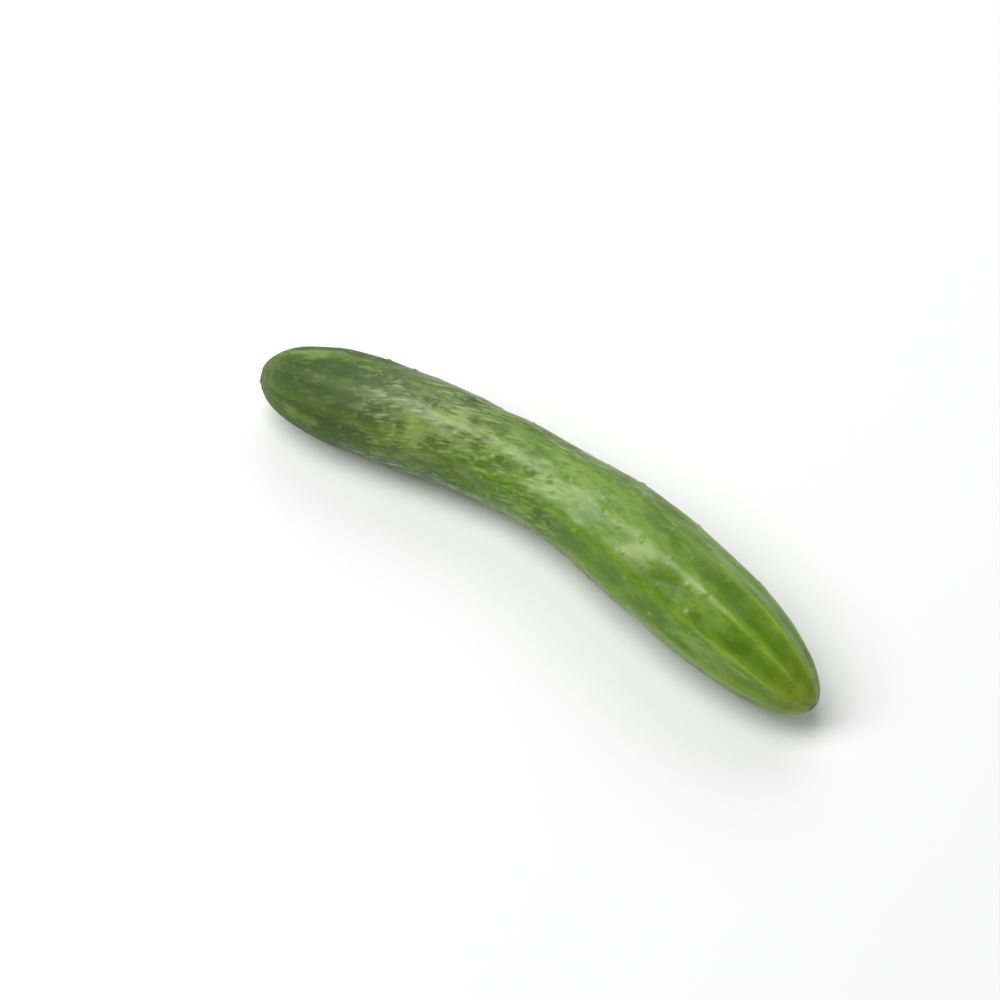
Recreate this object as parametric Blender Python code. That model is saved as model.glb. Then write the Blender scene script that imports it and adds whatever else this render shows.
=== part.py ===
"""A whole fresh cucumber, lying on its side: one grown body, so one solid.

Units are metres, +Z is up, and +X runs from the stem end to the blossom end. The origin is at the
middle of the bounding box, on the surface that the cucumber lies on.

The body is lofted along a centreline that bends sideways. Each cross-section is nearly round, with a
faint three-sided swelling, ten low ribs, a gentle unevenness and scattered low warts. A short cut
stub of stalk closes one end and the dry blossom scar closes the other.
"""

import math
import random

import bmesh
import bpy
from mathutils import Vector

# Size along the centreline, and where its two sideways bends lie as shares of that length
LENGTH = 0.210
BEND = math.radians(23.7)
BEND_FROM, BEND_TO = 0.176, 0.737
TIP_BEND = math.radians(2.7)
TIP_BEND_FROM = 0.75

# Girth: radius at shares of the length where it is widest or narrowest, easing from one to the next
GIRTH = ((0.00, 0.0148), (0.22, 0.0160), (0.43, 0.0148), (0.70, 0.0172), (1.00, 0.0157))

# Each end is rounded like an ellipse, and the stem end is blunter for its higher power.
# Its first slice is lost under the stalk stub or the blossom scar
STEM_CAP = 0.0394
STEM_POWER = 2.48
STEM_LOST = 0.0011
BLOSSOM_CAP = 0.0462
BLOSSOM_POWER = 2.04
BLOSSOM_LOST = 0.0003

# The stalk stub: how far it stands out, its blunt five-sided outline, and the hollow in its cut face.
# The face's rings are (share of the hollow's depth, share of the stub's radius), from the middle out
STUB_LENGTH = 0.0008
STUB_RADIUS = 0.0042
STUB_CHAMFER = 0.0005
STUB_HOLLOW = 0.0005
STUB_SIDES = 5
STUB_SHARE = 0.05
STUB_MIDDLE = 1.2
STUB_FACE = ((1.0, 0.35), (0.6, 0.65))

# The blossom scar: a small ring round a shallow dimple with a point in it.
# Its rings are (share of the depth that they stand out, share of the radius), from the rim in
SCAR_RADIUS = 0.0022
SCAR_DEPTH = 0.0005
SCAR_POINT = 0.0003
SCAR_FACE = ((0.3, 1.0), (-0.2, 0.72), (-1.0, 0.40))

# The section: angles run from the +Y side, over the top
SWELLINGS = 3
SWELLING_SHARE = 0.012
SWELLING_AT = math.radians(75.0)
RIBS = 10
RIB_AT = math.radians(102.0)

# How high the ribs stand everywhere, and how much higher near each end, with the shares between
# which that extra height fades
RIB_MIDDLE = 0.00013
RIB_STEM = 0.00024
RIB_STEM_TO = 0.25
RIB_BLOSSOM = 0.00028
RIB_BLOSSOM_FROM, RIB_BLOSSOM_TO = 0.55, 0.90

# Unevenness: (height, waves along the length, waves round the body, phase)
WAVES = (
    (0.00022, 2.3, 1, 0.4),
    (0.00016, 3.7, 2, 1.9),
    (0.00010, 6.1, 3, 4.0),
)

# Warts: drawn at random in loose rows along the ribs, at least a gap apart, and none on the underside
WARTS = 120
WART_HEIGHT = (0.00020, 0.00042)
WART_ZONE = (0.07, 0.84)
WART_STRAY = 0.26
WART_GAP = 0.0042
WART_LOWEST = -0.90
WART_SEED = 7

# The underside is pressed flat by this much where the body touches the surface
FLAT_DEPTH = 0.00035

# Mesh
SIDES = 60
STEM_RINGS = 15
MIDDLE_RINGS = 44
BLOSSOM_RINGS = 19
CENTRE_STEPS = 420

SKIN_GREEN = (0.060, 0.155, 0.022, 1.0)
SKIN_ROUGHNESS = 0.38


def ease(t):
    """0 to 1 with level ends."""
    t = min(1.0, max(0.0, t))
    return t * t * (3.0 - 2.0 * t)


def girth(share):
    """Radius of the body at a share of its length, before the ends close it."""
    for (a, low), (b, high) in zip(GIRTH, GIRTH[1:]):
        if share <= b:
            return low + (high - low) * ease((share - a) / (b - a))
    return GIRTH[-1][1]


def closing(distance, cap, power):
    """Share of the full girth at a distance from the tip that the body closes to."""
    away = min(1.0, max(0.0, 1.0 - distance / cap))
    return (1.0 - away ** power) ** (1.0 / power)


def body_radius(s):
    """Radius at a distance from the stem end along the centreline, with both ends closed."""
    stem = closing(s - STUB_LENGTH + STEM_LOST, STEM_CAP, STEM_POWER)
    blossom = closing(LENGTH - s + BLOSSOM_LOST, BLOSSOM_CAP, BLOSSOM_POWER)
    return girth(s / LENGTH) * stem * blossom


def heading_at(share):
    """How far the centreline has turned, the main bend first and the slight one at the tip after it."""
    main = BEND * ease((share - BEND_FROM) / (BEND_TO - BEND_FROM))
    tip = TIP_BEND * ease((share - TIP_BEND_FROM) / (1.0 - TIP_BEND_FROM))
    return -main - tip


def centreline():
    """Points and headings along the bend, with the chord between the two ends along +X."""
    step = LENGTH / CENTRE_STEPS
    headings = [heading_at(i / CENTRE_STEPS) for i in range(CENTRE_STEPS + 1)]
    places = [Vector((0.0, 0.0))]
    for before, after in zip(headings, headings[1:]):
        middle = (before + after) / 2.0
        places.append(places[-1] + step * Vector((math.cos(middle), math.sin(middle))))
    chord = places[-1] - places[0]
    turn = -math.atan2(chord.y, chord.x)
    turned = [
        Vector((p.x * math.cos(turn) - p.y * math.sin(turn), p.x * math.sin(turn) + p.y * math.cos(turn)))
        for p in places
    ]
    return turned, [h + turn for h in headings]


def on_centreline(line, s):
    """The place and heading at a distance along the centreline."""
    places, headings = line
    at = min(max(s / LENGTH, 0.0), 1.0) * CENTRE_STEPS
    i = min(int(at), CENTRE_STEPS - 1)
    part = at - i
    return places[i].lerp(places[i + 1], part), headings[i] + part * (headings[i + 1] - headings[i])


def rib_height(share):
    """The ribs fade in the middle of the body and stand out near its ends."""
    stem = RIB_STEM * (1.0 - ease(share / RIB_STEM_TO))
    blossom = RIB_BLOSSOM * ease((share - RIB_BLOSSOM_FROM) / (RIB_BLOSSOM_TO - RIB_BLOSSOM_FROM))
    return RIB_MIDDLE + stem + blossom


def relief(share, angle, radius):
    """How far the skin stands out from a round section. It fades where the section is small."""
    full = min(1.0, radius / GIRTH[0][1])
    out = SWELLING_SHARE * radius * math.cos(SWELLINGS * (angle - SWELLING_AT))
    if share * LENGTH < STUB_LENGTH:
        out += STUB_SHARE * radius * math.cos(STUB_SIDES * (angle - RIB_AT))
    out += full * rib_height(share) * math.cos(RIBS * (angle - RIB_AT))
    for height, along, around, phase in WAVES:
        lengthwise = math.sin(2.0 * math.pi * along * share + phase)
        out += full * height * lengthwise * math.cos(around * angle + phase)
    return out


def skin_point(line, s, angle, radius, raised=0.0):
    """A point of the skin. Nothing reaches below the surface that the cucumber lies on."""
    place, heading = on_centreline(line, s)
    share = s / LENGTH
    out = radius + relief(share, angle, radius) + raised
    side = out * math.cos(angle)
    height = girth(share) - FLAT_DEPTH + out * math.sin(angle)
    return Vector((
        place.x - side * math.sin(heading),
        place.y + side * math.cos(heading),
        max(0.0, height),
    ))


def side_angle(j):
    """Angle of a corner of the section, counted so that one corner lies on each rib."""
    return RIB_AT + 2.0 * math.pi * j / SIDES


def cap_distances(cap, lost, rings):
    """Distances from a tip, spaced so that the rings follow the ellipse evenly."""
    first = math.acos(1.0 - lost / cap)
    angles = (first + (math.pi / 2.0 - first) * i / rings for i in range(rings))
    return [cap * (1.0 - math.cos(a)) - lost for a in angles]


def rings_of_body():
    """(distance, radius) of every ring, from the middle of the cut face to the blossom scar."""
    rings = [(deep * STUB_HOLLOW, wide * STUB_RADIUS) for deep, wide in STUB_FACE]
    rings += [(0.0, STUB_RADIUS - STUB_CHAMFER), (STUB_CHAMFER, STUB_RADIUS)]
    distances = [STUB_LENGTH + d for d in cap_distances(STEM_CAP, STEM_LOST, STEM_RINGS)]
    start, end = STUB_LENGTH + STEM_CAP - STEM_LOST, LENGTH - BLOSSOM_CAP + BLOSSOM_LOST
    distances += [start + (end - start) * i / MIDDLE_RINGS for i in range(MIDDLE_RINGS + 1)]
    blossom = cap_distances(BLOSSOM_CAP, BLOSSOM_LOST, BLOSSOM_RINGS)
    distances += [LENGTH - d for d in reversed(blossom) if body_radius(LENGTH - d) > SCAR_RADIUS]
    rings += [(s, body_radius(s)) for s in distances]
    last = rings[-1][0]
    rings += [(last + proud * SCAR_DEPTH, wide * SCAR_RADIUS) for proud, wide in SCAR_FACE]
    return rings


def loft(rings, line):
    """The closed skin: a band of faces between each ring and the next, and a fan over each end."""
    mesh = bmesh.new()
    angles = [side_angle(j) for j in range(SIDES)]
    loops = []
    for s, radius in rings:
        loops.append([mesh.verts.new(skin_point(line, s, a, radius)) for a in angles])
    bands = []
    for before, after in zip(loops, loops[1:]):
        bands.append([
            mesh.faces.new((before[j], before[(j + 1) % SIDES], after[(j + 1) % SIDES], after[j]))
            for j in range(SIDES)
        ])
    stem_middle = mesh.verts.new(skin_point(line, STUB_MIDDLE * STUB_HOLLOW, 0.0, 0.0))
    blossom_middle = mesh.verts.new(skin_point(line, rings[-1][0] + SCAR_POINT, 0.0, 0.0))
    for j in range(SIDES):
        mesh.faces.new((stem_middle, loops[0][(j + 1) % SIDES], loops[0][j]))
        mesh.faces.new((blossom_middle, loops[-1][j], loops[-1][(j + 1) % SIDES]))
    bmesh.ops.recalc_face_normals(mesh, faces=mesh.faces)
    return mesh, bands


def draw_warts():
    """Places and heights as (distance, angle, height)."""
    draw = random.Random(WART_SEED)
    warts = []
    while len(warts) < WARTS:
        s = LENGTH * draw.uniform(*WART_ZONE)
        row = draw.randrange(RIBS) + draw.gauss(0.0, WART_STRAY)
        angle = RIB_AT + 2.0 * math.pi * row / RIBS
        height = draw.uniform(*WART_HEIGHT)
        gaps = (
            math.hypot(s - other_s, body_radius(s) * math.remainder(angle - other_angle, 2.0 * math.pi))
            for other_s, other_angle, _ in warts
        )
        if math.sin(angle) > WART_LOWEST and min(gaps, default=WART_GAP) >= WART_GAP:
            warts.append((s, angle, height))
    return warts


def raise_warts(mesh, bands, rings, line):
    """Splits the face under each wart at its middle and lifts that off the skin."""
    starts = [s for s, _ in rings[:len(bands)]]
    for s, angle, height in draw_warts():
        i = max(k for k, start in enumerate(starts) if start <= s)
        j = math.floor((angle - RIB_AT) / (2.0 * math.pi) * SIDES) % SIDES
        radius = (rings[i][1] + rings[i + 1][1]) / 2.0
        middle_s = (rings[i][0] + rings[i + 1][0]) / 2.0
        middle = bmesh.ops.poke(mesh, faces=[bands[i][j]])["verts"][0]
        middle.co = skin_point(line, middle_s, side_angle(j + 0.5), radius, height)


def skin_material():
    material = bpy.data.materials.new("skin")
    material.use_nodes = True
    shader = material.node_tree.nodes["Principled BSDF"]
    shader.inputs["Base Color"].default_value = SKIN_GREEN
    shader.inputs["Roughness"].default_value = SKIN_ROUGHNESS
    shader.inputs["Metallic"].default_value = 0.0
    return material


def centre_on_origin(mesh):
    """Puts the middle of the bounding box over the origin, with the flat underside at z = 0."""
    low = Vector([min(v.co[k] for v in mesh.verts) for k in range(3)])
    high = Vector([max(v.co[k] for v in mesh.verts) for k in range(3)])
    middle = (low + high) / 2.0
    bmesh.ops.translate(mesh, verts=mesh.verts, vec=(-middle.x, -middle.y, -low.z))


def make_cucumber():
    line = centreline()
    rings = rings_of_body()
    mesh, bands = loft(rings, line)
    raise_warts(mesh, bands, rings, line)
    centre_on_origin(mesh)
    data = bpy.data.meshes.new("cucumber")
    mesh.to_mesh(data)
    mesh.free()
    data.shade_smooth()
    data.materials.append(skin_material())
    cucumber = bpy.data.objects.new("cucumber", data)
    bpy.context.scene.collection.objects.link(cucumber)
    return cucumber


for obj in list(bpy.data.objects):
    bpy.data.objects.remove(obj)
make_cucumber()
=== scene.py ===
"""The look of a whole fresh cucumber that lies on its side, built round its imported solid.

Units are metres in the solid's own frame: +X runs from the stem end to the blossom end, and +Z is up.
The skin is one dense mesh with the solid's form, and carries the fine relief and the colour of the
real one: waxy green, darker at the stem end, with pale broken stripes that run to the blossom scar.
"""

import math
import random

import bpy
import numpy as np
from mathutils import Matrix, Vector


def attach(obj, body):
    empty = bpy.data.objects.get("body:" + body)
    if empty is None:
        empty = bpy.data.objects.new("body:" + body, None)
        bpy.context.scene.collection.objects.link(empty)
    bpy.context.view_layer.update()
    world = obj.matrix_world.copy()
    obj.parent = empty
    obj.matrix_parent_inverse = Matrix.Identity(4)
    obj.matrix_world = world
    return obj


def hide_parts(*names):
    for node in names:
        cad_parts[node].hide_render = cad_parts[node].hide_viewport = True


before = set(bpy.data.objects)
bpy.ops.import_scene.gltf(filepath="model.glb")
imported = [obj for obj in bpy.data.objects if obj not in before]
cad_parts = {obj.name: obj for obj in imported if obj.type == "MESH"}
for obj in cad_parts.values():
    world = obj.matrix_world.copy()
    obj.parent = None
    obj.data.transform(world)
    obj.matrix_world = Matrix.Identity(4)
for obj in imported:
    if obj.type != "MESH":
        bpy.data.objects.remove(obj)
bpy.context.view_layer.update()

# The solid's form, in the same values. Size along the centreline, and its two sideways bends
LENGTH = 0.210
BEND = math.radians(23.7)
BEND_FROM, BEND_TO = 0.176, 0.737
TIP_BEND = math.radians(2.7)
TIP_BEND_FROM = 0.75

# Girth: radius at shares of the length where it is widest or narrowest, easing from one to the next
GIRTH = ((0.00, 0.0148), (0.22, 0.0160), (0.43, 0.0148), (0.70, 0.0172), (1.00, 0.0157))

# The rounded ends, and the first slice of each, which is lost under the stalk stub or the scar
STEM_CAP = 0.0394
STEM_POWER = 2.48
STEM_LOST = 0.0011
BLOSSOM_CAP = 0.0462
BLOSSOM_POWER = 2.04
BLOSSOM_LOST = 0.0003

# The stalk stub: its blunt five-sided outline, its hollow cut face, and the share of its side that
# rounds over into that face
STUB_LENGTH = 0.0008
STUB_RADIUS = 0.0042
STUB_CHAMFER = 0.0005
STUB_HOLLOW = 0.0005
STUB_SIDES = 5
STUB_SHARE = 0.05
STUB_ROUNDED = 0.5

# The blossom scar: a low ring round a dimple, at shares of the way from the scar's rim to its middle
SCAR_RADIUS = 0.0022
SCAR_DEPTH = 0.0005
SCAR_RING_HEIGHT = 0.30
SCAR_RING_AT = 0.12
SCAR_RING_WIDTH = 0.12
SCAR_DIMPLE_FROM, SCAR_DIMPLE_TO = 0.15, 0.60

# The section: angles run from the +Y side, over the top
SWELLINGS = 3
SWELLING_SHARE = 0.012
SWELLING_AT = math.radians(75.0)
RIBS = 10
RIB_AT = math.radians(102.0)

# How high the ribs stand everywhere, and how much higher near each end
RIB_MIDDLE = 0.00013
RIB_STEM = 0.00024
RIB_STEM_TO = 0.25
RIB_BLOSSOM = 0.00028
RIB_BLOSSOM_FROM, RIB_BLOSSOM_TO = 0.55, 0.90

# Unevenness: (height, waves along the length, waves round the body, phase)
WAVES = (
    (0.00022, 2.3, 1, 0.4),
    (0.00016, 3.7, 2, 1.9),
    (0.00010, 6.1, 3, 4.0),
)

# Warts: in loose rows along the ribs, at least a gap apart, and none on the underside.
# A wart's width is how far from its middle it has sunk to about a third of its height
WARTS = 120
WART_HEIGHT = (0.00020, 0.00042)
WART_ZONE = (0.07, 0.84)
WART_STRAY = 0.26
WART_GAP = 0.0042
WART_LOWEST = -0.90
WART_SEED = 7
WART_WIDTH = 0.00078
WIDTHS_REACHED = 6.0

# The underside is pressed flat by this much where the body touches the surface
FLAT_DEPTH = 0.00035

# The dense mesh: rings follow the length and columns go round, 20 of them to each rib
COLUMNS = 200
STEM_RINGS = 72
MIDDLE_RINGS = 256
BLOSSOM_RINGS = 96
STUB_FACE_RINGS = 10
STUB_SIDE_RINGS = 5
SCAR_RINGS = 12
CENTRE_STEPS = 420

# Relief that is finer than the solid's: (height, shortest and longest wave, stretch along the body)
SWELL_RELIEF = (0.00014, 0.007, 0.013, 1.8)
DIMPLE_RELIEF = (0.000022, 0.0026, 0.0048, 1.5)
PEBBLE_RELIEF = (0.000009, 0.0011, 0.0017, 1.2)
STREAK_RELIEF = (0.000036, 0.0019, 0.0032, 1.9)
WAVES_IN_FIELD = 40
RELIEF_SEED = 23

# The streaks slant, by radians round the body for each metre along it. They set in over the first two
# shares of the length and fade over the last two
STREAK_TWIST = -15.0
STREAK_ZONE = (0.11, 0.23, 0.46, 0.66)

# Pimples between the warts. A row's twist is its middle and spread in radians for each metre, and
# each pimple strays from the row by radians round the body
PIMPLE_ROWS = 40
PIMPLES_IN_ROW = (3, 7)
PIMPLE_GAP = (0.0015, 0.0031)
PIMPLE_TWIST = (12.0, 6.0)
PIMPLE_STRAY = 0.025
PIMPLE_ROW_ZONE = (0.10, 0.58)
LONE_PIMPLES = 110
LONE_PIMPLE_ZONE = (0.04, 0.93)
PIMPLE_HEIGHT = (0.00006, 0.00017)
PIMPLE_WIDTH = 0.00056
PIMPLE_SEED = 31

# The side along the top ridge where the skin is paler: partly its own paler skin, partly a painted
# highlight where the top light falls
PALE_AND_HIGHLIT_AT = math.radians(103.0)

# Soft patches of the skin, among them painted reflections, painted highlights and one patch of painted
# shade:
# (share of the length, degrees round the body, half length, half width, strength)
PALE_AND_SHEEN_PATCHES = (
    # painted reflection of the white floor along the stem end's lower rim
    (0.070, 163.0, 0.0190, 0.0036, 0.50),
    # painted sheen along the stem end's upper rim, in two patches
    (0.080, 68.0, 0.0170, 0.0015, 0.62),
    (0.085, 60.0, 0.0210, 0.0045, 0.64),
    (0.265, 117.0, 0.0130, 0.0038, 0.75),
    # paler skin along the lit ridge, partly a painted highlight
    (0.345, 97.5, 0.0200, 0.0024, 1.00),
    # painted highlights on the lit ridge, in three patches
    (0.535, 109.0, 0.0105, 0.0040, 0.72),
    (0.665, 117.0, 0.0080, 0.0028, 1.00),
    (0.830, 116.0, 0.0120, 0.0030, 0.70),
    (0.860, 155.0, 0.0260, 0.0046, 0.80),
)
DARK_AND_SHADE_PATCHES = (
    # painted shade on the stem end's top, darkening where the wax would shine
    (0.065, 101.0, 0.0070, 0.0042, 1.00),
    (0.535, 158.0, 0.0095, 0.0042, 1.00),
    (0.655, 156.0, 0.0070, 0.0040, 1.00),
    (0.665, 77.0, 0.0060, 0.0030, 1.00),
    (0.770, 84.0, 0.0060, 0.0024, 1.00),
    (0.850, 88.0, 0.0100, 0.0018, 1.00),
)

# Colours of the skin, from the stem end on, and then of what lies on it
DEEP_GREEN = (0.035, 0.083, 0.004, 1.0)
LEAF_GREEN = (0.082, 0.172, 0.007, 1.0)
BRIGHT_GREEN = (0.110, 0.226, 0.003, 1.0)
SHADE_GREEN = (0.034, 0.078, 0.005, 1.0)
RICH_GREEN = (0.062, 0.150, 0.001, 1.0)
CREST_GREEN = (0.172, 0.290, 0.017, 1.0)
STRIPE_GREEN = (0.270, 0.405, 0.045, 1.0)
PALE_GREEN = (0.250, 0.375, 0.070, 1.0)
FLECK_GREEN = (0.270, 0.368, 0.145, 1.0)
LEMON_GREEN = (0.226, 0.356, 0.062, 1.0)
BELLY_GREEN = (0.190, 0.280, 0.060, 1.0)
RIPE_YELLOW = (0.240, 0.310, 0.008, 1.0)
OLIVE = (0.120, 0.160, 0.050, 1.0)
STRAW = (0.380, 0.400, 0.200, 1.0)
CORK = (0.205, 0.198, 0.085, 1.0)
DARK_CORK = (0.074, 0.072, 0.030, 1.0)

# How strongly the wax reflects, the roughness of the dry places, and how deep the finest grain is
WAX_SPECULAR = 0.44
STALK_ROUGHNESS = 0.78
SCAR_ROUGHNESS = 0.75
WAX_GRAIN = 0.000012
STALK_GRAIN = 0.00010
SCAR_GRAIN = 0.00020

# Sizes in the materials are in millimetres. Patterns are even, oval or long along the body, and lie
# straight on it or slant with the streaks
MM = 1000.0
EVEN = (1.0, 1.0, 1.00)
OVAL = (1.0, 1.0, 0.50)
LONG = (1.0, 1.0, 0.25)
STRAIGHT = "skin_place"
SLANTED = "slanted_place"

# The camera: where it looks, from which side, how high and how far, and its lens
LOOK_AT = Vector((-0.0182, -0.0010, 0.0))
CAMERA_AZIMUTH = math.radians(34.45)
CAMERA_ELEVATION = math.radians(63.0)
CAMERA_DISTANCE = 0.7600
LENS_MM = 85.0
SENSOR_MM = 36.0

# The floor, the white walls and the darker ceiling, with the heights between which one fades into
# the other
FLOOR_SIZE = 6.0
FLOOR_WHITE = (0.87, 0.87, 0.87, 1.0)
FLOOR_ROUGHNESS = 0.9
SURROUND_WHITE = (0.97, 0.985, 1.0, 1.0)
WALL_STRENGTH = 0.42
CEILING_STRENGTH = 0.12
WALL_TOP, CEILING_EDGE = math.sin(math.radians(14.0)), math.sin(math.radians(42.0))

# The softboxes: (name, place, turn in degrees, width and depth, radiance)
SOFTBOXES = (
    ("overhead", (-1.21, -0.73, 2.00), (0.0, 0.0, 45.7), (3.20, 1.00), 6.7),
    ("behind", (-0.50, 1.50, 1.30), (-50.0, 0.0, 18.0), (2.20, 1.20), 1.7),
)


def ease(value, start=0.0, end=1.0):
    """0 up to the start and 1 from the end on, with level ends."""
    t = np.clip((value - start) / (end - start), 0.0, 1.0)
    return t * t * (3.0 - 2.0 * t)


def girth(share):
    """Radius of the body at a share of its length, before the ends close it."""
    places, radii = np.array(GIRTH).T
    i = np.clip(np.searchsorted(places, share, side="right") - 1, 0, len(places) - 2)
    return radii[i] + (radii[i + 1] - radii[i]) * ease(share, places[i], places[i + 1])


def closing(distance, cap, power):
    """Share of the full girth at a distance from the tip that the body closes to."""
    away = np.clip(1.0 - distance / cap, 0.0, 1.0)
    return (1.0 - away ** power) ** (1.0 / power)


def body_radius(s):
    """Radius at a distance from the stem end along the centreline, with both ends closed."""
    stem = closing(s - STUB_LENGTH + STEM_LOST, STEM_CAP, STEM_POWER)
    blossom = closing(LENGTH - s + BLOSSOM_LOST, BLOSSOM_CAP, BLOSSOM_POWER)
    return girth(s / LENGTH) * stem * blossom


def centreline():
    """Shares of the length with x, y and heading there, and the chord between the ends along +X."""
    shares = np.linspace(0.0, 1.0, CENTRE_STEPS + 1)
    headings = -BEND * ease(shares, BEND_FROM, BEND_TO) - TIP_BEND * ease(shares, TIP_BEND_FROM)
    middle = (headings[1:] + headings[:-1]) / 2.0
    x = np.concatenate(([0.0], np.cumsum(np.cos(middle)))) * LENGTH / CENTRE_STEPS
    y = np.concatenate(([0.0], np.cumsum(np.sin(middle)))) * LENGTH / CENTRE_STEPS
    turn = -math.atan2(y[-1], x[-1])
    turned_x = x * math.cos(turn) - y * math.sin(turn)
    turned_y = x * math.sin(turn) + y * math.cos(turn)
    return shares, turned_x, turned_y, headings + turn


def rings_of_stub():
    """(distance, radius) of the rings over the hollow cut face and down the stub's side."""
    face = [
        (STUB_HOLLOW * (1.0 - f ** 2), (STUB_RADIUS - STUB_CHAMFER) * f)
        for f in np.linspace(0.0, 1.0, STUB_FACE_RINGS + 1)[1:]
    ]
    side = []
    for f in np.linspace(0.0, 1.0, STUB_SIDE_RINGS + 1)[1:]:
        inward = 1.0 - math.sqrt(1.0 - (1.0 - min(1.0, f / STUB_ROUNDED)) ** 2)
        side.append((STUB_LENGTH * f * f, STUB_RADIUS - STUB_CHAMFER * inward))
    return face + side


def cap_distances(cap, lost, rings):
    """Distances from a tip, spaced so that the rings follow the ellipse evenly."""
    first = math.acos(1.0 - lost / cap)
    angles = first + (math.pi / 2.0 - first) * np.arange(rings) / rings
    return cap * (1.0 - np.cos(angles)) - lost


def rings_of_body():
    """(distance, radius) of the rings between the stub and the scar."""
    start, end = STUB_LENGTH + STEM_CAP - STEM_LOST, LENGTH - BLOSSOM_CAP + BLOSSOM_LOST
    stem = STUB_LENGTH + cap_distances(STEM_CAP, STEM_LOST, STEM_RINGS)
    middle = np.linspace(start, end, MIDDLE_RINGS + 1)
    blossom = LENGTH - cap_distances(BLOSSOM_CAP, BLOSSOM_LOST, BLOSSOM_RINGS)[::-1]
    blossom = blossom[body_radius(blossom) > SCAR_RADIUS]
    return [(s, float(body_radius(s))) for s in np.concatenate((stem, middle, blossom))]


def rings_of_scar(start):
    """(distance, radius) of the rings from the scar's rim in."""
    rings = []
    for f in np.linspace(0.0, 1.0, SCAR_RINGS + 1)[:-1]:
        ring = SCAR_RING_HEIGHT * math.exp(-((f - SCAR_RING_AT) / SCAR_RING_WIDTH) ** 2)
        dimple = ease(f, SCAR_DIMPLE_FROM, SCAR_DIMPLE_TO)
        rings.append((start + SCAR_DEPTH * (ring - dimple), SCAR_RADIUS * (1.0 - f)))
    return rings


def random_field(points, rng, shortest, longest, stretch):
    """A smooth random field over skin places, of about unit height, as a sum of plane waves."""
    total = np.zeros(points.shape[:-1])
    for _ in range(WAVES_IN_FIELD):
        direction = rng.normal(size=3)
        direction /= np.linalg.norm(direction)
        wave = 2.0 * math.pi / rng.uniform(shortest, longest) * direction
        wave[2] /= stretch
        total += np.cos(points @ wave + rng.uniform(0.0, 2.0 * math.pi))
    return total * math.sqrt(2.0 / WAVES_IN_FIELD)


def draw_warts():
    """Places and heights of the solid's warts as (distance, angle, height)."""
    draw = random.Random(WART_SEED)
    warts = []
    while len(warts) < WARTS:
        s = LENGTH * draw.uniform(*WART_ZONE)
        row = draw.randrange(RIBS) + draw.gauss(0.0, WART_STRAY)
        angle = RIB_AT + 2.0 * math.pi * row / RIBS
        height = draw.uniform(*WART_HEIGHT)
        gaps = (
            math.hypot(s - other_s, body_radius(s) * math.remainder(angle - other_angle, 2.0 * math.pi))
            for other_s, other_angle, _ in warts
        )
        if math.sin(angle) > WART_LOWEST and min(gaps, default=WART_GAP) >= WART_GAP:
            warts.append((s, angle, height))
    return warts


def draw_pimples():
    """Pimples between the warts: short slightly slanted rows on the stem half, and lone ones anywhere."""
    draw = random.Random(PIMPLE_SEED)
    pimples = []
    for _ in range(PIMPLE_ROWS):
        s = LENGTH * draw.uniform(*PIMPLE_ROW_ZONE)
        angle = draw.uniform(0.0, 2.0 * math.pi)
        twist = draw.gauss(*PIMPLE_TWIST)
        for _ in range(draw.randint(*PIMPLES_IN_ROW)):
            pimples.append((s, angle, draw.uniform(*PIMPLE_HEIGHT)))
            gap = draw.uniform(*PIMPLE_GAP)
            s += gap
            angle += twist * gap + draw.gauss(0.0, PIMPLE_STRAY)
    for _ in range(LONE_PIMPLES):
        s = LENGTH * draw.uniform(*LONE_PIMPLE_ZONE)
        pimples.append((s, draw.uniform(0.0, 2.0 * math.pi), draw.uniform(*PIMPLE_HEIGHT)))
    return pimples


def turn_from(middle, angle):
    """Angle from a middle, at most half a turn either way."""
    return np.remainder(angle - middle + math.pi, 2.0 * math.pi) - math.pi


def wart_relief(s, angle, radius, warts, width):
    """Summed height of the warts, and the distance from each place to the nearest wart's middle."""
    height = np.zeros_like(angle)
    nearest = np.full_like(angle, 1.0)
    for wart_s, wart_angle, wart_height in warts:
        rows = np.abs(s[:, 0] - wart_s) < WIDTHS_REACHED * width
        away = np.hypot(s[rows] - wart_s, radius[rows] * turn_from(wart_angle, angle[rows]))
        height[rows] += wart_height * np.exp(-((away / width) ** 2))
        nearest[rows] = np.minimum(nearest[rows], away)
    return height, nearest


def patches(share, angle, radius, places):
    """Each patch's own strength in its middle, fading to 0 outside them all."""
    strongest = np.zeros_like(angle)
    for at_share, degrees, half_length, half_width, strength in places:
        along = LENGTH * (share - at_share) / half_length
        across = radius * turn_from(math.radians(degrees), angle) / half_width
        strongest = np.maximum(strongest, strength * np.exp(-(along ** 2 + across ** 2)))
    return strongest


def rib_height(share):
    """The ribs fade in the middle of the body and stand out near its ends."""
    stem = RIB_STEM * (1.0 - ease(share, 0.0, RIB_STEM_TO))
    blossom = RIB_BLOSSOM * ease(share, RIB_BLOSSOM_FROM, RIB_BLOSSOM_TO)
    return RIB_MIDDLE + stem + blossom


def solid_form(share, angle, radius, full, on_stub):
    """How far the solid's skin lies from the centreline, without its warts."""
    out = radius * (1.0 + SWELLING_SHARE * np.cos(SWELLINGS * (angle - SWELLING_AT)))
    out += full * rib_height(share) * np.cos(RIBS * (angle - RIB_AT))
    out += on_stub * STUB_SHARE * radius * np.cos(STUB_SIDES * (angle - RIB_AT))
    for height, along, around, phase in WAVES:
        lengthwise = np.sin(2.0 * math.pi * along * share + phase)
        out += full * height * lengthwise * np.cos(around * angle + phase)
    return out


def straight_skin(s, angle, radius):
    """Places on the body as if it were straight and round, with the third axis along it."""
    return np.stack((radius * np.cos(angle), radius * np.sin(angle), s), axis=-1)


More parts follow.
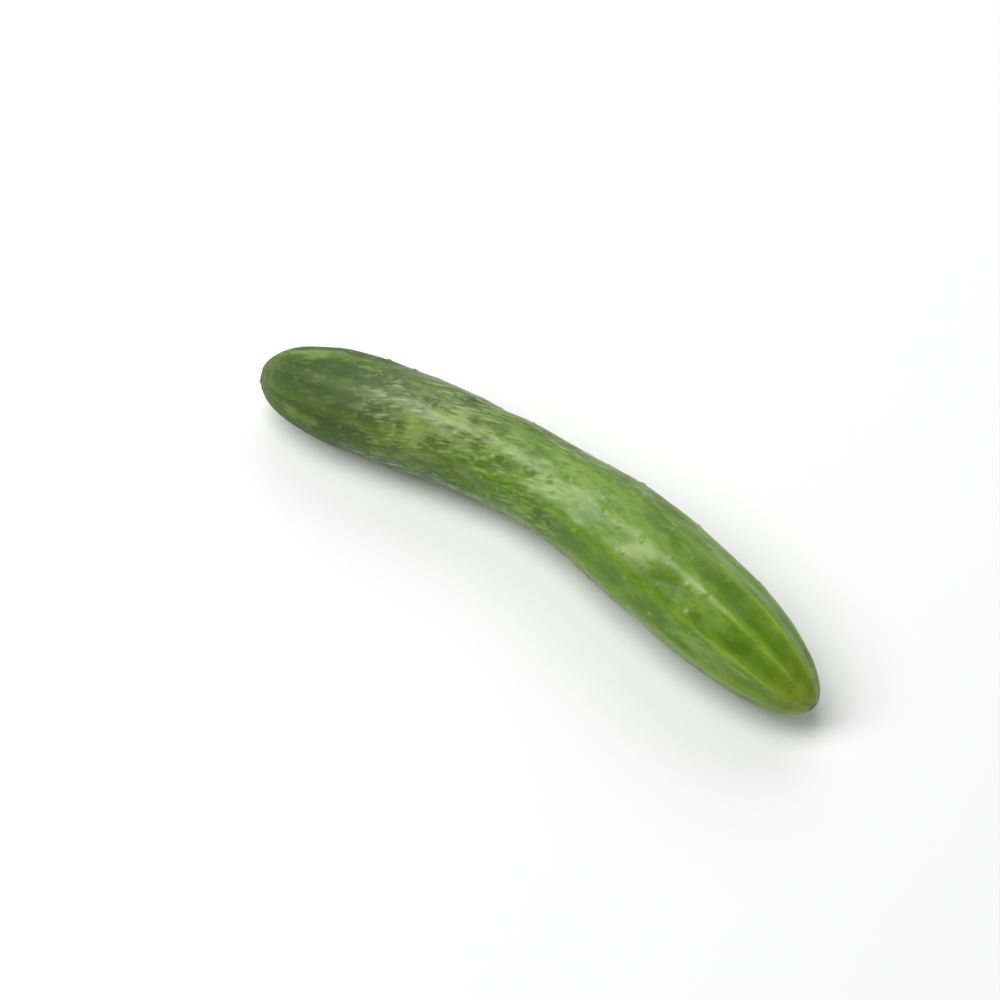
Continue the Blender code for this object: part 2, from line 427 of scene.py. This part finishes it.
def set_on_centreline(share, angle, out):
    """Places of the skin in the frame. Nothing reaches below the surface that the cucumber lies on."""
    shares, line_x, line_y, headings = centreline()
    x, y = np.interp(share, shares, line_x), np.interp(share, shares, line_y)
    heading = np.interp(share, shares, headings)
    side = out * np.cos(angle)
    up = np.maximum(0.0, girth(share) - FLAT_DEPTH + out * np.sin(angle))
    places = np.stack((x - side * np.sin(heading), y + side * np.cos(heading), up), axis=-1)
    middle = (places.min(axis=(0, 1)) + places.max(axis=(0, 1))) / 2.0
    places[..., :2] -= middle[:2]
    return places


def skin_surface(rings, rings_on_stub):
    """Grids of places on the skin, ring by ring, with what the material needs to know of each."""
    s = np.repeat(rings[:, :1], COLUMNS, axis=1)
    radius = np.repeat(rings[:, 1:], COLUMNS, axis=1)
    angle = np.repeat((RIB_AT + 2.0 * math.pi * np.arange(COLUMNS) / COLUMNS)[None], len(rings), axis=0)
    share = s / LENGTH
    full = np.minimum(1.0, radius / GIRTH[0][1])
    on_stub = np.arange(len(rings))[:, None] < rings_on_stub
    out = solid_form(share, angle, radius, full, on_stub)

    rng = np.random.default_rng(RELIEF_SEED)
    skin_place = straight_skin(s, angle, radius)
    for height, shortest, longest, stretch in (SWELL_RELIEF, DIMPLE_RELIEF, PEBBLE_RELIEF):
        out += full * height * random_field(skin_place, rng, shortest, longest, stretch)

    slanted_place = straight_skin(s, angle - STREAK_TWIST * s, radius)
    sets_in, whole, fades, gone = STREAK_ZONE
    streaky = ease(share, sets_in, whole) * (1.0 - ease(share, fades, gone))
    height, shortest, longest, stretch = STREAK_RELIEF
    streaks = streaky * random_field(slanted_place, rng, shortest, longest, stretch)
    out += height * streaks

    warts, wart_distance = wart_relief(s, angle, radius, draw_warts(), WART_WIDTH)
    pimples, pimple_distance = wart_relief(s, angle, radius, draw_pimples(), PIMPLE_WIDTH)
    out += full * (warts + pimples)

    rib_turn = RIBS * (angle - RIB_AT) / (2.0 * math.pi)
    facts = {
        "along": share,
        "from_rib": 2.0 * np.abs(np.remainder(rib_turn + 0.5, 1.0) - 0.5),
        "wart_mm": MM * wart_distance,
        "pimple_mm": MM * pimple_distance,
        "low": -np.sin(angle),
        # the paler side along the top ridge: partly skin, partly painted highlight
        "pale_and_highlit": np.cos(angle - PALE_AND_HIGHLIT_AT),
        "radius_mm": MM * radius,
        "streak": streaks,
        "streaky": streaky,
        "pale_and_sheen_patch": patches(share, angle, radius, PALE_AND_SHEEN_PATCHES),
        "dark_and_shade_patch": patches(share, angle, radius, DARK_AND_SHADE_PATCHES),
    }
    charts = {STRAIGHT: MM * skin_place, SLANTED: MM * slanted_place}
    return set_on_centreline(share, angle, out), facts, charts


def with_ends(grid):
    """All values of a grid, ring after ring, and then one for the middle of each end."""
    ends = np.array((grid[0].mean(axis=0), grid[-1].mean(axis=0)))
    return np.concatenate((grid.reshape(-1, *grid.shape[2:]), ends))


def faces_of(rings):
    """Faces pointing out: a band of quads between each ring and the next, and a fan over each end."""
    ids = np.arange(rings * COLUMNS).reshape(rings, COLUMNS)
    a, b = ids[:-1], ids[1:]
    quads = np.stack((a, np.roll(a, -1, axis=1), np.roll(b, -1, axis=1), b), axis=-1).reshape(-1, 4)
    first, last = rings * COLUMNS, rings * COLUMNS + 1
    stem_fan = [(first, ids[0, (j + 1) % COLUMNS], ids[0, j]) for j in range(COLUMNS)]
    blossom_fan = [(last, ids[-1, j], ids[-1, (j + 1) % COLUMNS]) for j in range(COLUMNS)]
    return quads.tolist(), stem_fan, blossom_fan


def make_mesh():
    """One closed mesh, which carries the facts and charts that its three materials read."""
    stub, body = rings_of_stub(), rings_of_body()
    scar = rings_of_scar(body[-1][0])
    rings = np.array(stub + body + scar)
    places, facts, charts = skin_surface(rings, len(stub))
    quads, stem_fan, blossom_fan = faces_of(len(rings))

    mesh = bpy.data.meshes.new("cucumber_skin")
    mesh.from_pydata(with_ends(places).tolist(), [], quads + stem_fan + blossom_fan)
    for name, grid in facts.items():
        values = with_ends(grid).astype(np.float32)
        mesh.attributes.new(name, "FLOAT", "POINT").data.foreach_set("value", values)
    for name, chart in charts.items():
        vectors = with_ends(chart).astype(np.float32).ravel()
        mesh.attributes.new(name, "FLOAT_VECTOR", "POINT").data.foreach_set("vector", vectors)

    for material in (skin_material(), stub_material(), scar_material()):
        mesh.materials.append(material)
    skin_slot, stub_slot, scar_slot = range(3)
    slots = np.full(len(mesh.polygons), skin_slot, dtype=np.int32)
    slots[:(len(stub) - 1) * COLUMNS] = stub_slot
    slots[(len(rings) - len(scar)) * COLUMNS:] = scar_slot
    slots[len(quads):len(quads) + len(stem_fan)] = stub_slot
    mesh.polygons.foreach_set("material_index", slots)
    mesh.shade_smooth()
    mesh.validate()
    mesh.update()
    return mesh


class Nodes:
    """A few short ways to wire a material."""

    def __init__(self, name):
        self.material = bpy.data.materials.new(name)
        self.material.use_nodes = True
        self.tree = self.material.node_tree
        self.shader = self.tree.nodes["Principled BSDF"]

    def wire(self, socket, value):
        if hasattr(value, "is_output"):
            self.tree.links.new(value, socket)
        else:
            socket.default_value = value

    def finish_as(self, name, value):
        """Sets or wires an input of the shader."""
        self.wire(self.shader.inputs[name], value)

    def fact(self, name):
        """A number that the mesh carries."""
        node = self.tree.nodes.new("ShaderNodeAttribute")
        node.attribute_name = name
        return node.outputs["Fac"]

    def place(self, stretch, chart):
        """Seamless place on the straightened skin, in millimetres, with its third axis along the body."""
        node = self.tree.nodes.new("ShaderNodeAttribute")
        node.attribute_name = chart
        scaled = self.tree.nodes.new("ShaderNodeVectorMath")
        scaled.operation = "MULTIPLY"
        self.tree.links.new(node.outputs["Vector"], scaled.inputs[0])
        scaled.inputs[1].default_value = stretch
        return scaled.outputs["Vector"]

    def noise(self, size_mm, stretch=EVEN, detail=2.0, roughness=0.5, chart=STRAIGHT):
        node = self.tree.nodes.new("ShaderNodeTexNoise")
        self.tree.links.new(self.place(stretch, chart), node.inputs["Vector"])
        node.inputs["Scale"].default_value = 1.0 / size_mm
        node.inputs["Detail"].default_value = detail
        node.inputs["Roughness"].default_value = roughness
        return node.outputs["Fac"]

    def swing(self, amount, *noise, **more):
        """Noise that swings about 0."""
        return self.times(self.math("SUBTRACT", self.noise(*noise, **more), 0.5), amount)

    def cells(self, size_mm, stretch=EVEN, chart=STRAIGHT):
        """Distance to the middle of the nearest cell, in cells."""
        node = self.tree.nodes.new("ShaderNodeTexVoronoi")
        self.tree.links.new(self.place(stretch, chart), node.inputs["Vector"])
        node.inputs["Scale"].default_value = 1.0 / size_mm
        return node.outputs["Distance"]

    def band(self, value, low, high, bottom=0.0, top=1.0):
        """Eases from bottom to top as the value goes from low to high."""
        node = self.tree.nodes.new("ShaderNodeMapRange")
        node.interpolation_type = "SMOOTHSTEP"
        self.wire(node.inputs["Value"], value)
        node.inputs["From Min"].default_value = low
        node.inputs["From Max"].default_value = high
        node.inputs["To Min"].default_value = bottom
        node.inputs["To Max"].default_value = top
        return node.outputs["Result"]

    def along(self, low, high, bottom=0.0, top=1.0):
        """Eases from bottom to top between two shares of the body's length."""
        return self.band(self.fact("along"), low, high, bottom, top)

    def math(self, operation, a, b):
        node = self.tree.nodes.new("ShaderNodeMath")
        node.operation = operation
        self.wire(node.inputs[0], a)
        self.wire(node.inputs[1], b)
        return node.outputs["Value"]

    def plus(self, a, b):
        return self.math("ADD", a, b)

    def times(self, a, b):
        return self.math("MULTIPLY", a, b)

    def larger(self, a, b):
        return self.math("MAXIMUM", a, b)

    def mix(self, share, a, b):
        node = self.tree.nodes.new("ShaderNodeMix")
        node.data_type = "RGBA"
        self.wire(node.inputs["Factor"], share)
        self.wire(node.inputs["A"], a)
        self.wire(node.inputs["B"], b)
        return node.outputs["Result"]

    def bump(self, height, distance):
        node = self.tree.nodes.new("ShaderNodeBump")
        node.inputs["Distance"].default_value = distance
        self.wire(node.inputs["Height"], height)
        self.finish_as("Normal", node.outputs["Normal"])


def ground_colour(n, where):
    """Deep at the stem end, brighter and yellower towards the blossom end."""
    colour = n.mix(n.band(where, 0.10, 0.46), DEEP_GREEN, LEAF_GREEN)
    return n.mix(n.band(where, 0.42, 0.74), colour, BRIGHT_GREEN)


def add_blotches(n, colour, shade):
    """Soft blotches, dark and pale, longer than wide."""
    dark = n.band(n.noise(9.0, OVAL, 3.0, 0.6), 0.44, 0.60, 0.0, 0.85)
    pale = n.band(n.noise(6.0, OVAL, 3.0, 0.6), 0.50, 0.66, 0.0, 0.55)
    colour = n.mix(dark, colour, shade)
    return n.mix(n.times(pale, n.along(0.10, 0.26)), colour, CREST_GREEN)


def add_rib_crests(n, colour, rib_place):
    """The ribs are softly paler than the furrows, most so near the ends."""
    blossom_half = n.times(n.band(rib_place, 0.08, 0.70, 1.0, 0.0), n.along(0.45, 0.85, 0.15, 0.50))
    stem_end = n.times(n.band(rib_place, 0.00, 0.65, 1.0, 0.0), n.along(0.08, 0.22, 0.26, 0.0))
    uneven = n.band(n.noise(10.0, LONG), 0.35, 0.60, 0.35, 1.0)
    return n.mix(n.times(n.larger(blossom_half, stem_end), uneven), colour, CREST_GREEN)


def add_pale_and_highlit_side(n, colour, fleck):
    """The stem half is paler along its top ridge, in clouds: partly paler skin, partly a painted
    highlight.
    """
    stem_half = n.times(n.along(0.13, 0.31), n.along(0.45, 0.80, 1.0, 0.0))
    # paler where the top light falls: partly paler skin, partly painted highlight
    pale_and_highlit = n.times(n.band(n.fact("pale_and_highlit"), 0.66, 0.97), stem_half)
    clouded = n.band(n.noise(4.0, OVAL, 3.0, 0.6), 0.38, 0.60, 0.15, 0.72)
    return n.mix(n.times(pale_and_highlit, clouded), colour, fleck)


def add_patches(n, colour, shade):
    """Large soft patches, pale and deep, with ragged edges: some pale ones are painted highlights and
    painted reflections, and one deep one is painted shade.
    """
    edge = n.swing(0.9, 3.0, OVAL, 3.0, 0.6)
    # pale skin, with painted highlights and painted reflections among it
    pale = n.band(n.plus(n.fact("pale_and_sheen_patch"), edge), 0.25, 0.80, 0.0, 0.62)
    # deep skin, and painted shade on the stem end's top
    dark = n.band(n.plus(n.fact("dark_and_shade_patch"), edge), 0.25, 0.75, 0.0, 0.75)
    return n.mix(dark, n.mix(pale, colour, PALE_GREEN), shade)


def slanted_dashes(n, streaky):
    """Short slanted dashes in two sizes, each on the middle of a long cell of the skin."""
    wavering = n.swing(0.7, 2.2, LONG, 2.0, chart=SLANTED)
    raised = n.times(n.fact("streak"), -0.05)
    coarse_cell = n.plus(n.plus(n.cells(1.75, LONG, SLANTED), wavering), raised)
    fine_cell = n.plus(n.cells(1.05, LONG, SLANTED), wavering)
    coarse = n.band(coarse_cell, 0.20, 0.42, 1.0, 0.0)
    fine = n.band(fine_cell, 0.18, 0.40, 0.7, 0.0)
    return n.times(n.larger(coarse, fine), streaky)


def add_dashes(n, colour, dashes, streaky, fleck, shade):
    """The dashes are pale, in loose clusters, with darker skin between them and dark flecks over all."""
    clusters = n.band(n.noise(8.0, OVAL, 2.0), 0.40, 0.60, 0.25, 0.90)
    between = n.band(n.noise(1.35, LONG, 1.0, chart=SLANTED), 0.34, 0.54, 0.65, 0.0)
    colour = n.mix(n.times(n.times(clusters, between), streaky), colour, shade)
    colour = n.mix(n.times(clusters, dashes), colour, fleck)
    dark_flecks = n.band(n.noise(1.9, LONG, 2.0), 0.52, 0.72, 0.0, 0.40)
    return n.mix(dark_flecks, colour, shade)


def add_furrows(n, colour, rib_place):
    """Between the ribs the blossom end is deep and rich."""
    furrow = n.times(n.band(rib_place, 0.34, 0.84), n.along(0.76, 0.92, 0.0, 0.50))
    return n.mix(furrow, colour, RICH_GREEN)


def add_rib_lines(n, colour, rib_place):
    """Thin pale lines on the ribs: nearly whole near the blossom end, broken into dashes before it."""
    on_crest = n.band(rib_place, 0.00, 0.22, 1.0, 0.0)
    blossom_end = n.times(n.along(0.68, 0.88, 0.0, 0.58), n.along(0.945, 0.985, 1.0, 0.25))
    whole = n.times(blossom_end, n.band(n.noise(3.4, LONG, 2.0), 0.30, 0.52, 0.25, 1.0))
    broken = n.times(n.band(n.noise(2.4, OVAL, 2.0), 0.50, 0.66, 0.0, 0.45), n.along(0.10, 0.24))
    return n.mix(n.times(on_crest, n.larger(whole, broken)), colour, STRIPE_GREEN)


def add_ripe_tip(n, colour):
    """The skin turns yellower round the blossom scar."""
    patchy = n.band(n.noise(5.0, EVEN, 2.0), 0.35, 0.62, 0.30, 0.72)
    return n.mix(n.times(n.along(0.925, 0.980), patchy), colour, RIPE_YELLOW)


def add_wart_spots(n, colour):
    """Warts are paler round a small straw-coloured point, and pimples are pale. Both show less on the
    stem end."""
    showing = n.along(0.08, 0.24, 0.35, 1.0)
    halo = n.band(n.fact("wart_mm"), 0.30, 1.20, 0.35, 0.0)
    point = n.band(n.fact("wart_mm"), 0.12, 0.30, 0.55, 0.0)
    pimple = n.band(n.fact("pimple_mm"), 0.20, 0.75, 0.35, 0.0)
    colour = n.mix(n.times(halo, showing), colour, PALE_GREEN)
    colour = n.mix(n.times(point, showing), colour, STRAW)
    return n.mix(n.times(pimple, showing), colour, PALE_GREEN)


def add_belly(n, colour):
    """The underside is paler."""
    patchy = n.band(n.noise(5.0, EVEN, 3.0), 0.30, 0.65, 0.3, 1.0)
    return n.mix(n.times(n.band(n.fact("low"), 0.62, 0.98), patchy), colour, BELLY_GREEN)


def add_collar(n, colour):
    """The skin turns olive round the stub."""
    worn = n.band(n.noise(2.0, EVEN, 3.0), 0.3, 0.7, 0.4, 1.0)
    return n.mix(n.times(n.along(0.010, 0.052, 0.85, 0.0), worn), colour, OLIVE)


def add_wax(n, dashes):
    """Cloudy patches of sheen, duller at the stem end, over a fine grain in which the dashes stand out."""
    dull = n.plus(n.along(0.10, 0.28, 0.34, 0.0), n.along(0.85, 0.96, 0.0, 0.08))
    cloudy = n.band(n.noise(6.0, EVEN, 4.0, 0.6), 0.30, 0.72, 0.27, 0.39)
    n.finish_as("Roughness", n.plus(cloudy, dull))
    n.finish_as("Specular IOR Level", WAX_SPECULAR)
    grain = n.plus(n.noise(0.55, EVEN, 3.0), n.times(n.noise(1.1, LONG, 2.0), 0.8))
    n.bump(n.plus(grain, n.times(dashes, 1.8)), WAX_GRAIN)


def skin_material():
    """The waxy skin, from its ground colour up to the spots on its warts."""
    n = Nodes("skin")
    where = n.plus(n.fact("along"), n.swing(0.35, 26.0))
    rib_place = n.plus(n.fact("from_rib"), n.swing(0.7, 3.2, LONG, 3.0))
    streaky = n.larger(n.fact("streaky"), 0.16)
    dashes = slanted_dashes(n, streaky)
    shade = n.mix(n.band(where, 0.30, 0.60), SHADE_GREEN, RICH_GREEN)
    fleck = n.mix(n.along(0.24, 0.46), FLECK_GREEN, LEMON_GREEN)

    colour = ground_colour(n, where)
    colour = add_blotches(n, colour, shade)
    colour = add_rib_crests(n, colour, rib_place)
    colour = add_pale_and_highlit_side(n, colour, fleck)
    colour = add_patches(n, colour, shade)
    colour = add_dashes(n, colour, dashes, streaky, fleck, shade)
    colour = add_furrows(n, colour, rib_place)
    colour = add_rib_lines(n, colour, rib_place)
    colour = add_ripe_tip(n, colour)
    colour = add_wart_spots(n, colour)
    colour = add_belly(n, colour)
    colour = add_collar(n, colour)
    n.finish_as("Base Color", colour)
    add_wax(n, dashes)
    return n.material


def stub_material():
    """The cut stalk: dry and fibrous, straw-coloured inside a corky rim that turns olive at its edge."""
    n = Nodes("cut_stalk")
    fibres = n.noise(0.35, EVEN, 4.0, 0.65)
    colour = n.mix(n.band(fibres, 0.35, 0.68), STRAW, CORK)
    colour = n.mix(n.band(n.cells(0.9), 0.05, 0.28, 0.55, 0.0), colour, DARK_CORK)
    colour = n.mix(n.band(n.fact("radius_mm"), 2.8, 3.6, 0.0, 0.80), colour, CORK)
    colour = n.mix(n.band(n.fact("radius_mm"), 3.5, 4.0, 0.0, 0.90), colour, OLIVE)
    n.finish_as("Base Color", colour)
    n.finish_as("Roughness", STALK_ROUGHNESS)
    n.bump(fibres, STALK_GRAIN)
    return n.material


def scar_material():
    """The dry blossom scar: tan cork with a darker middle."""
    n = Nodes("blossom_scar")
    crumbs = n.noise(0.30, EVEN, 4.0, 0.65)
    colour = n.mix(n.band(crumbs, 0.35, 0.68), CORK, STRAW)
    colour = n.mix(n.band(n.fact("radius_mm"), 0.5, 1.4, 0.85, 0.0), colour, DARK_CORK)
    n.finish_as("Base Color", colour)
    n.finish_as("Roughness", SCAR_ROUGHNESS)
    n.bump(crumbs, SCAR_GRAIN)
    return n.material


def make_cucumber():
    skin = bpy.data.objects.new("cucumber_skin", make_mesh())
    bpy.context.scene.collection.objects.link(skin)
    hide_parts("cucumber")
    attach(skin, "root")


def make_floor():
    half = FLOOR_SIZE / 2.0
    mesh = bpy.data.meshes.new("floor")
    corners = [(-half, -half, 0.0), (half, -half, 0.0), (half, half, 0.0), (-half, half, 0.0)]
    mesh.from_pydata(corners, [], [(0, 1, 2, 3)])
    n = Nodes("floor")
    n.finish_as("Base Color", FLOOR_WHITE)
    n.finish_as("Roughness", FLOOR_ROUGHNESS)
    mesh.materials.append(n.material)
    floor = bpy.data.objects.new("floor", mesh)
    bpy.context.scene.collection.objects.link(floor)


def make_camera():
    data = bpy.data.cameras.new("camera")
    data.lens = LENS_MM
    data.sensor_width = SENSOR_MM
    camera = bpy.data.objects.new("camera", data)
    level, rise = math.cos(CAMERA_ELEVATION), math.sin(CAMERA_ELEVATION)
    back = Vector((math.sin(CAMERA_AZIMUTH) * level, -math.cos(CAMERA_AZIMUTH) * level, rise))
    camera.location = LOOK_AT + CAMERA_DISTANCE * back
    camera.rotation_euler = (LOOK_AT - camera.location).to_track_quat("-Z", "Y").to_euler()
    bpy.context.scene.collection.objects.link(camera)
    bpy.context.scene.camera = camera


def make_surround():
    """White walls all round, and a darker ceiling above them."""
    world = bpy.data.worlds.new("surround")
    world.use_nodes = True
    nodes, links = world.node_tree.nodes, world.node_tree.links
    direction = nodes.new("ShaderNodeTexCoord")
    parts = nodes.new("ShaderNodeSeparateXYZ")
    links.new(direction.outputs["Generated"], parts.inputs["Vector"])
    fade = nodes.new("ShaderNodeMapRange")
    fade.interpolation_type = "SMOOTHSTEP"
    links.new(parts.outputs["Z"], fade.inputs["Value"])
    fade.inputs["From Min"].default_value = WALL_TOP
    fade.inputs["From Max"].default_value = CEILING_EDGE
    fade.inputs["To Min"].default_value = WALL_STRENGTH
    fade.inputs["To Max"].default_value = CEILING_STRENGTH
    background = nodes["Background"]
    background.inputs["Color"].default_value = SURROUND_WHITE
    links.new(fade.outputs["Result"], background.inputs["Strength"])
    bpy.context.scene.world = world


def make_softboxes():
    for name, place, degrees, (width, depth), radiance in SOFTBOXES:
        data = bpy.data.lights.new(name, "AREA")
        data.shape = "RECTANGLE"
        data.size, data.size_y = width, depth
        data.energy = math.pi * width * depth * radiance
        light = bpy.data.objects.new(name, data)
        light.location = place
        light.rotation_euler = [math.radians(turn) for turn in degrees]
        bpy.context.scene.collection.objects.link(light)


make_cucumber()
make_floor()
make_camera()
make_surround()
make_softboxes()
bpy.context.scene.view_settings.view_transform = "Standard"
